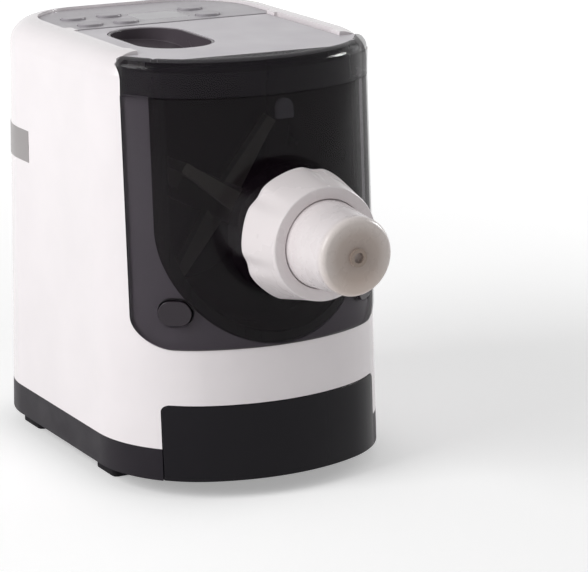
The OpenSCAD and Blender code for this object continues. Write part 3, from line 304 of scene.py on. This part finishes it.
# Chamber and extruder
MATERIAL["mixing_chamber"] = dark("chamber_smoke", srgb(30, 24, 28), 0.3)
MATERIAL["mixing_paddle"] = moulded("paddle_grey", srgb(150, 144, 138), 0.4, 10, grain=0.8)
MATERIAL["auger"] = moulded("auger_white", srgb(200, 195, 190), 0.35, 10, grain=0.8)
MATERIAL["shaft_seal"] = moulded("seal_brown", srgb(120, 58, 45), 0.55, 10)
MATERIAL["spaghetti_die"] = milky_die()
MATERIAL["die_seal"] = moulded("seal_red", srgb(165, 60, 48), 0.55, 10)
MATERIAL["clamp_nut"] = moulded("nut_white", srgb(232, 225, 226), 0.28, 2)

# Drive and electrics, inside
MATERIAL["chassis"] = moulded("chassis_grey", srgb(84, 84, 88), 0.6, 40, grain=1.2)
MATERIAL["output_shaft"] = metal("shaft_steel", (0.58, 0.58, 0.6), 0.24, (12, 1, 12))
MATERIAL["output_gear"] = moulded("nylon_gear", srgb(226, 219, 202), 0.42, 10, subsurface_weight=0.2,
                                  subsurface_scale=0.003)
MATERIAL["motor_pinion"] = metal("cut_steel", (0.5, 0.5, 0.53), 0.3)
MATERIAL["motor_stator"] = metal("core_plates", (0.2, 0.2, 0.22), 0.5, (1, 60, 1), grain=30, depth=100)
MATERIAL["motor_rotor"] = metal("rotor_core", (0.28, 0.24, 0.2), 0.45, (1, 60, 1), grain=30, depth=100)
MATERIAL["cooling_fan"] = moulded("fan_white", srgb(228, 228, 232), 0.4)
MATERIAL["motor_front_bell"] = metal("cast_bell", (0.58, 0.58, 0.6), 0.5, grain=1.2, depth=60)
MATERIAL["front_bearing"] = metal("sintered_bronze", (0.62, 0.4, 0.18), 0.45, grain=0.6, depth=30)
MATERIAL["gearbox_front_plate"] = metal("pressed_plate", (0.66, 0.66, 0.68), 0.38, (1, 6, 14))
MATERIAL["control_board"] = moulded("board_green", srgb(46, 96, 60), 0.3, 30, grain=1.6, coat_weight=0.3)
MATERIAL["reed_switch"] = moulded("switch_cream", srgb(214, 206, 190), 0.45)

SAME_FINISH = {"idler_pin": "output_shaft", "gearbox_pillars": "output_shaft", "motor_bolts": "output_shaft",
               "compound_gear": "output_gear", "motor_rear_bell": "motor_front_bell",
               "rear_bearing": "front_bearing", "gearbox_rear_plate": "gearbox_front_plate",
               "power_board": "control_board"}
for slot, other_slot in SAME_FINISH.items():
    MATERIAL[slot] = MATERIAL[other_slot]


def material_of(node):
    """The material of a CAD node's slot."""
    return MATERIAL[SLOT_OF[node]].material


# ------------------------------------------------------------------ meshes and pieces
# Faces that meet at less than this many degrees are shaded as one, on plain pieces and on rounded ones
PLAIN_SMOOTH = 30
BEVELLED_SMOOTH = 52
# Edges sharper than this many degrees are rounded
ROUNDED_FROM = 38
BEVEL_SEGMENTS = 2
# Points of a CAD mesh that are closer than this are joined
WELD = 0.01 * MM
# Faces of a CAD mesh that meet at less than this many degrees are made one
FLAT = 0.4


def linked(name, mesh):
    """A mesh as a new object in the scene."""
    obj = bpy.data.objects.new(name, mesh)
    bpy.context.scene.collection.objects.link(obj)
    return obj


def set_material(obj, material):
    """Gives an object one material in place of its own."""
    obj.data.materials.clear()
    obj.data.materials.append(material)


def smooth(mesh, angle):
    """Smooth shading, apart from edges sharper than angle degrees."""
    mesh.polygons.foreach_set("use_smooth", [True] * len(mesh.polygons))
    mesh.set_sharp_from_angle(angle=math.radians(angle))


def apply_modifiers(obj):
    """Puts the result of an object's modifiers into its mesh."""
    bpy.context.view_layer.update()
    done = bpy.data.meshes.new_from_object(obj.evaluated_get(bpy.context.evaluated_depsgraph_get()))
    obj.modifiers.clear()
    obj.data = done


def bevelled(obj, width):
    """Rounds the sharp edges by width millimetres, and keeps the shading of flat faces flat."""
    bevel = obj.modifiers.new("edges", "BEVEL")
    bevel.width = width * MM
    bevel.segments = BEVEL_SEGMENTS
    bevel.limit_method = "ANGLE"
    bevel.angle_limit = math.radians(ROUNDED_FROM)
    bevel.miter_outer = "MITER_ARC"
    apply_modifiers(obj)
    smooth(obj.data, BEVELLED_SMOOTH)
    weighted = obj.modifiers.new("shading", "WEIGHTED_NORMAL")
    weighted.keep_sharp = True
    apply_modifiers(obj)


def skin_of(node, name, bm, width=0.0):
    """Makes a mesh the visible skin of a CAD node, on its body and material."""
    mesh = bpy.data.meshes.new(name)
    bm.to_mesh(mesh)
    bm.free()
    obj = linked(name, mesh)
    if width:
        bevelled(obj, width)
    else:
        smooth(obj.data, PLAIN_SMOOTH)
    set_material(obj, material_of(node))
    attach(obj, BODY_OF[node])
    return obj


def cleaned(node, shrink=0.0):
    """The CAD node's mesh without slivers and with its flat faces whole, its skin drawn in by shrink mm."""
    bm = bmesh.new()
    bm.from_mesh(NODES[node].data)
    bmesh.ops.remove_doubles(bm, verts=bm.verts, dist=WELD)
    bmesh.ops.dissolve_degenerate(bm, edges=bm.edges, dist=WELD)
    bmesh.ops.dissolve_limit(bm, angle_limit=math.radians(FLAT), verts=bm.verts, edges=bm.edges)
    bm.normal_update()
    for vert in bm.verts:
        vert.co -= vert.normal * shrink * MM
    return bm


def dress(node, width, bm=None):
    """The CAD node with its moulded edges rounded by width millimetres."""
    obj = skin_of(node, node + "_dressed", bm or cleaned(node), width)
    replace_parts(obj, node)


def loft(bm, rows, closed=False):
    """Skins neighbouring rings of points, as a closed loop of rings or with both ends capped."""
    rows = [[bm.verts.new(point) for point in row] for row in rows]
    following = rows[1:] + rows[:1] if closed else rows[1:]
    for here, there in zip(rows, following):
        for k in range(len(here)):
            j = (k + 1) % len(here)
            bm.faces.new((here[k], here[j], there[j], there[k]))
    if not closed:
        bm.faces.new(rows[0])
        bm.faces.new(rows[-1][::-1])
    bmesh.ops.recalc_face_normals(bm, faces=bm.faces)


# ------------------------------------------------------------------ edges of the CAD's pieces
# How far the moulded edges of a node are rounded, in millimetres
EDGE_ROUND = {"housing_shell": 0.6, "base_pan": 0.8, "vent_grille": 0.4, "mains_inlet": 0.5,
              "front_panel": 0.6, "control_panel": 0.4, "display_window": 0.4, "lid_cover": 0.4,
              "pouring_tray": 0.6, "drawer_front": 0.8, "drawer_tray": 0.5, "mixing_paddle": 0.8}
for key in ("power", "start", "weight", "program", "extrude", "timer"):
    EDGE_ROUND[key + "_button"] = 0.6
RELEASE_BUTTONS = ("release_button_left", "release_button_right")
# Nodes whose visible skin is made further below
OWN_SKIN = ("clamp_nut", "rear_band", "rubber_feet", "spaghetti_die", "lid_plate") + RELEASE_BUTTONS

for name, node in NODES.items():
    if name in EDGE_ROUND:
        dress(name, EDGE_ROUND[name])
    elif name not in OWN_SKIN:
        set_material(node, material_of(name))
        smooth(node.data, PLAIN_SMOOTH)

# ------------------------------------------------------------------ die
DIE_TIP_Y = -104.8
DIE_TIP_R = 26.4
CAD_ROUND = 8
REAL_ROUND = 4
# How far a point may be off the solid's round and still be moved
TIP_SLACK = 0.01
ROUND_SLACK = 0.2


def tip_radius(y, round_r):
    """Radius of the die's skin at y, where its tip is rounded by round_r."""
    fall = max(0, DIE_TIP_Y + round_r - y)
    return DIE_TIP_R - round_r + math.sqrt(max(0, round_r ** 2 - fall ** 2))


def tight_die():
    """The die with a tighter round at its tip than the solid has."""
    bm = cleaned("spaghetti_die")
    for vert in bm.verts:
        x = vert.co.x / MM
        y = vert.co.y / MM - Y_SHIFT
        z = vert.co.z / MM - AXIS_Z
        r = math.hypot(x, z)
        in_reach = DIE_TIP_Y - TIP_SLACK <= y <= DIE_TIP_Y + CAD_ROUND
        if in_reach and abs(r - tip_radius(y, CAD_ROUND)) <= ROUND_SLACK:
            wanted = tip_radius(y, REAL_ROUND)
            vert.co.x = x * wanted / r * MM
            vert.co.z = (z * wanted / r + AXIS_Z) * MM
    return bm


dress("spaghetti_die", 0.4, tight_die())

# ------------------------------------------------------------------ pieces drawn in
# The plate touches the clear cover all round, so that its skin is drawn in a hair
dress("lid_plate", 0.4, cleaned("lid_plate", shrink=0.06))

# The release buttons show a dark gap all round
for name in RELEASE_BUTTONS:
    dress(name, 0.6, cleaned(name, shrink=0.7))

# ------------------------------------------------------------------ clamp nut
NUT_BACK_Y = -29.8
NUT_FRONT_Y = -64.2
NUT_BACK_R = 45.3
NUT_FRONT_R = 38.5
NUT_STEPS = 180
NUT_RINGS = 14
# Length of the back rim, where the profile's even steps end
RIM_L = 2
# Front edge: how far it is rounded across and along the axis
EDGE_ACROSS = 1.2
EDGE_ALONG = 1
EDGE_STEPS = 4
# Opening at the front, and the bore behind it for the barrel's thread
MOUTH_R = 30.1
MOUTH_L = 4
BORE_R = 33.3
BARREL_R = 32.5
# Hollow between the bore's wall and the skin, open at the back
HOLLOW_IN_R = 35.8
HOLLOW_FLOOR_R = 36.8
HOLLOW_OUT_R = 40.3
HOLLOW_FLOOR_Y = -56.2
RIBS = 8
RIB_HALF = 1

GRIPS = 6
GRIP_VALLEY = math.radians(80)
GRIP_HALF = math.radians(12)
GRIP_DEPTH = 1.6
GRIP_FLAT_DEPTH = 0.4
GRIP_FADE = 0.7
# Points of the profile deeper than these below the cone and below the front ring aren't on the outer skin
SKIN_BAND = 2.5
FRONT_BAND = 2


def grip_radius(r, y, angle):
    """Shallow valleys between the grips, which fade out towards the front ring."""
    share = max(0, (y - NUT_FRONT_Y) / (NUT_BACK_Y - NUT_FRONT_Y))
    skin = between(NUT_FRONT_R, NUT_BACK_R, share)
    if r < skin - SKIN_BAND or r < NUT_FRONT_R - FRONT_BAND:
        return r
    pitch = 2 * math.pi / GRIPS
    off = abs((angle - GRIP_VALLEY + pitch / 2) % pitch - pitch / 2)
    valley = 0.5 + 0.5 * math.cos(math.pi * min(1, off / GRIP_HALF))
    beside = min(1, max(0, off - GRIP_HALF) / (pitch - 2 * GRIP_HALF))
    flat = 0.5 - 0.5 * math.cos(2 * math.pi * beside)
    return r - share ** GRIP_FADE * (GRIP_DEPTH * valley + GRIP_FLAT_DEPTH * flat)


def nut_profile():
    """The nut's section as (radius, y), with small chamfers at the mouth, the bore and the back rim."""
    skin = []
    for i in range(NUT_RINGS + 1):
        share = i / NUT_RINGS
        skin.append((between(NUT_BACK_R, NUT_FRONT_R, share),
                     between(NUT_BACK_Y - RIM_L, NUT_FRONT_Y + EDGE_ALONG, share)))
    edge = []
    for k in range(1, EDGE_STEPS + 1):
        a = math.radians(90 * k / EDGE_STEPS)
        edge.append((NUT_FRONT_R - EDGE_ACROSS + EDGE_ACROSS * math.cos(a),
                     NUT_FRONT_Y + EDGE_ALONG - EDGE_ALONG * math.sin(a)))
    mouth = [(MOUTH_R + 1, NUT_FRONT_Y), (MOUTH_R + 0.3, NUT_FRONT_Y + 0.3), (MOUTH_R, NUT_FRONT_Y + 1),
             (MOUTH_R, NUT_FRONT_Y + MOUTH_L)]
    bore = [(BORE_R, NUT_FRONT_Y + MOUTH_L), (BORE_R, NUT_BACK_Y - 1), (BORE_R + 0.8, NUT_BACK_Y)]
    hollow = [(HOLLOW_IN_R, NUT_BACK_Y), (HOLLOW_IN_R, HOLLOW_FLOOR_Y), (HOLLOW_FLOOR_R, HOLLOW_FLOOR_Y),
              (HOLLOW_OUT_R, NUT_BACK_Y)]
    back_rim = [(NUT_BACK_R - 1.7, NUT_BACK_Y), (NUT_BACK_R - 0.4, NUT_BACK_Y - 0.8)]
    return skin + edge + mouth + bore + hollow + back_rim


def nut_rib(bm, angle):
    """A tapered rib across the nut's hollow, sunk a little into both walls and the floor."""
    c, s = math.cos(angle), math.sin(angle)
    section = [(HOLLOW_IN_R - 0.4, HOLLOW_FLOOR_Y - 0.2), (HOLLOW_FLOOR_R + 0.4, HOLLOW_FLOOR_Y - 0.2),
               (HOLLOW_OUT_R + 0.3, NUT_BACK_Y - 0.8), (HOLLOW_IN_R - 0.4, NUT_BACK_Y - 0.8)]
    sides = [[at(r * c - side * s, y, AXIS_Z + r * s + side * c) for r, y in section]
             for side in (-RIB_HALF, RIB_HALF)]
    loft(bm, sides)


def clamp_nut():
    """The clamp nut with its grips and the ribs in its hollow."""
    bm = bmesh.new()
    rings = []
    for i in range(NUT_STEPS):
        angle = 2 * math.pi * i / NUT_STEPS
        rings.append([around_axis(grip_radius(r, y, angle), y, angle) for r, y in nut_profile()])
    loft(bm, rings, closed=True)
    for i in range(RIBS):
        nut_rib(bm, 2 * math.pi * i / RIBS)
    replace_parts(skin_of("clamp_nut", "clamp_nut_grip", bm), "clamp_nut")


clamp_nut()

# ------------------------------------------------------------------ threads
THREAD_PITCH = 6
THREAD_HEIGHT = 0.6
THREAD_SINK = 0.2
THREAD_STEPS = 72
# The ridge rises over the first quarter turn and falls over the last
THREAD_FADE = 4


def thread(name, node, radius, front, back, width, inward=False):
    """A ridge of trapezoid section, width millimetres wide, that winds about the extruder's axis."""
    steps = int((back - front) / THREAD_PITCH * THREAD_STEPS)
    sign = -1 if inward else 1
    foot = radius - sign * THREAD_SINK
    rows = []
    for i in range(steps + 1):
        angle = 2 * math.pi * i / THREAD_STEPS
        y = front + THREAD_PITCH * i / THREAD_STEPS
        fade = min(1.0, THREAD_FADE * i / THREAD_STEPS, THREAD_FADE * (steps - i) / THREAD_STEPS)
        crest = radius + sign * THREAD_HEIGHT * fade
        section = (-width / 2, foot), (-width / 4, crest), (width / 4, crest), (width / 2, foot)
        rows.append([around_axis(r, y + offset, angle) for offset, r in section])
    bm = bmesh.new()
    loft(bm, rows)
    skin_of(node, name, bm)


thread("barrel_thread", "front_panel", BARREL_R, front=-54, back=-36, width=3.4)
thread("nut_thread", "clamp_nut", BORE_R, front=-57, back=-33, width=2.2, inward=True)

# ------------------------------------------------------------------ band
# The housing's wall, which leans outwards below its shoulder at the back
BODY_HALF_W = 104
BODY_D = 257
REAR_R = 66
REAR_SLOPE = math.tan(math.radians(2))
SHOULDER_Z = 272.6
# The band, sunk into the wall and proud of it, with small chamfers at its edges
BAND_FRONT_Y = 176
BAND_LOW_Z = 203.4
BAND_HIGH_Z = 226.1
BAND_SINK = 1.2
BAND_EDGE = 0.25
BAND_EDGE_PROUD = 0.1
BAND_PROUD = 0.28
CORNER_STEPS = 24


def square_band():
    """The grey band round the back, with square front ends."""
    corner_y = BODY_D - REAR_R
    # Points of the right half's plan, each with the way out of the wall
    plan = [(BODY_HALF_W, BAND_FRONT_Y, 1, 0), (BODY_HALF_W, corner_y, 1, 0)]
    for k in range(1, CORNER_STEPS + 1):
        a = math.radians(90 * k / CORNER_STEPS)
        c, s = math.cos(a), math.sin(a)
        plan.append((BODY_HALF_W - REAR_R + REAR_R * c, corner_y + REAR_R * s, c, s))
    plan += [(-x, y, -out_x, out_y) for x, y, out_x, out_y in reversed(plan)]
    section = [(BAND_LOW_Z, -BAND_SINK), (BAND_LOW_Z, BAND_EDGE_PROUD), (BAND_LOW_Z + BAND_EDGE, BAND_PROUD)]
    section += [(BAND_HIGH_Z - BAND_EDGE, BAND_PROUD), (BAND_HIGH_Z, BAND_EDGE_PROUD),
                (BAND_HIGH_Z, -BAND_SINK)]
    rows = []
    for x, y, out_x, out_y in plan:
        lean = REAR_SLOPE if y > corner_y else 0
        rows.append([at(x + out_x * out, y + out_y * out + lean * (SHOULDER_Z - z), z) for z, out in section])
    bm = bmesh.new()
    loft(bm, rows)
    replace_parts(skin_of("rear_band", "square_band", bm), "rear_band")


square_band()

# ------------------------------------------------------------------ feet
FOOT_X = (-78, 78)
FOOT_Y = (83, 208)
FOOT_HALF = 15
FOOT_CORNER_R = 4
LEAST_CORNER_R = 0.4
# Height above the table and inset of a foot's rings: wall, chamfer, rest face and the recess below
FOOT_RINGS = ((12.5, 0), (1.2, 0), (0.35, 0.3), (0, 1.1), (0, 6), (0.9, 6.6))
QUARTERS = ((1, 1), (-1, 1), (-1, -1), (1, -1))
QUARTER_STEPS = 6


def foot_ring(x, y, z, inset):
    """A square with round corners about x and y."""
    r = max(LEAST_CORNER_R, FOOT_CORNER_R - inset)
    to_corner = FOOT_HALF - inset - r
    ring = []
    for quarter, (side_x, side_y) in enumerate(QUARTERS):
        corner_x = x + side_x * to_corner
        corner_y = y + side_y * to_corner
        for k in range(QUARTER_STEPS + 1):
            a = math.radians(90 * quarter + 90 / QUARTER_STEPS * k)
            ring.append(at(corner_x + r * math.cos(a), corner_y + r * math.sin(a), z))
    return ring


def rubber_feet():
    """Square feet with soft corners, a chamfer at the table and a recess below."""
    bm = bmesh.new()
    for x in FOOT_X:
        for y in FOOT_Y:
            loft(bm, [foot_ring(x, y, z, inset) for z, inset in FOOT_RINGS])
    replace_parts(skin_of("rubber_feet", "soft_feet", bm), "rubber_feet")


rubber_feet()

# ------------------------------------------------------------------ floor and room
FLOOR_HALF = 10
FLOOR_DIFFUSE = 0.9
# The floor's own light, near the object and far off, and the distances in metres between which it grows
GLOW_NEAR, GLOW_FAR = 0.33, 0.7
GLOW_FROM, GLOW_TO = 0.35, 1.6
# What the room gives as light, where it is seen as 1
ROOM_LIGHT = 0.35


def seen_by(tree):
    """1 for the rays that show the background, 0 for the rays that light the object."""
    rays = add_node(tree, "ShaderNodeLightPath").outputs
    total = rays["Is Camera Ray"]
    for kind in ("Is Glossy Ray", "Is Transmission Ray"):
        total = add_node(tree, "ShaderNodeMath", [total, rays[kind]], operation="MAXIMUM").outputs[0]
    return total


def floor_material():
    """A diffuse floor that takes the object's shadow, and is lifted to white where it is seen, less so near
    the object, where the weaker lift paints shade round it.
    """
    material = bpy.data.materials.new("floor_white")
    material.use_nodes = True
    tree = material.node_tree
    tree.nodes.clear()
    place = add_node(tree, "ShaderNodeTexCoord").outputs["Object"]
    away = add_node(tree, "ShaderNodeVectorMath", [place], operation="LENGTH").outputs["Value"]
    # Painted shade: the glow is weaker near the object, so the floor shows darker round it on top of the
    # lamps' shadow
    shown = remap(tree, away, GLOW_FROM, GLOW_TO, GLOW_NEAR, GLOW_FAR)
    strength = add_node(tree, "ShaderNodeMath", [seen_by(tree), shown], operation="MULTIPLY").outputs[0]
    glow = add_node(tree, "ShaderNodeEmission", inputs={"Color": WHITE})
    tree.links.new(strength, glow.inputs["Strength"])
    grey = (FLOOR_DIFFUSE, FLOOR_DIFFUSE, FLOOR_DIFFUSE, 1)
    lit = add_node(tree, "ShaderNodeBsdfDiffuse", inputs={"Color": grey})
    both = add_node(tree, "ShaderNodeAddShader", [lit.outputs[0], glow.outputs[0]])
    add_node(tree, "ShaderNodeOutputMaterial", [both.outputs[0]])
    return material


def make_floor():
    """A square floor under the object."""
    bm = bmesh.new()
    bmesh.ops.create_grid(bm, x_segments=1, y_segments=1, size=FLOOR_HALF)
    mesh = bpy.data.meshes.new("floor")
    bm.to_mesh(mesh)
    bm.free()
    floor = linked("floor", mesh)
    set_material(floor, floor_material())


def make_room():
    """A white room that looks brighter than the light it gives."""
    world = bpy.data.worlds.new("studio")
    bpy.context.scene.world = world
    world.use_nodes = True
    tree = world.node_tree
    background = tree.nodes["Background"]
    background.inputs["Color"].default_value = WHITE
    strength = remap(tree, seen_by(tree), 0, 1, ROOM_LIGHT, 1.0)
    tree.links.new(strength, background.inputs["Strength"])


make_floor()
make_room()


# ------------------------------------------------------------------ lamps
def softbox(name, position, target, size, power, glint=False):
    """A square area light of size metres and power watts, which as a glint shows only in gloss."""
    data = bpy.data.lights.new(name, "AREA")
    data.shape = "RECTANGLE"
    data.size = size
    data.size_y = size
    data.energy = power
    lamp = bpy.data.objects.new(name, data)
    bpy.context.scene.collection.objects.link(lamp)
    lamp.location = position
    lamp.rotation_mode = "QUATERNION"
    lamp.rotation_quaternion = (Vector(target) - Vector(position)).to_track_quat("-Z", "Y")
    lamp.visible_diffuse = not glint


softbox("key_left", (-1.85, -0.1, 1.2), target=(0, 0, 0.15), size=1.2, power=26)
softbox("edge_right", (1.9, 0.1, 0.8), target=(0, 0, 0.12), size=1.3, power=8)
softbox("glint_right", (1.6, -0.45, 0.8), target=(0, 0, 0.2), size=0.4, power=22, glint=True)
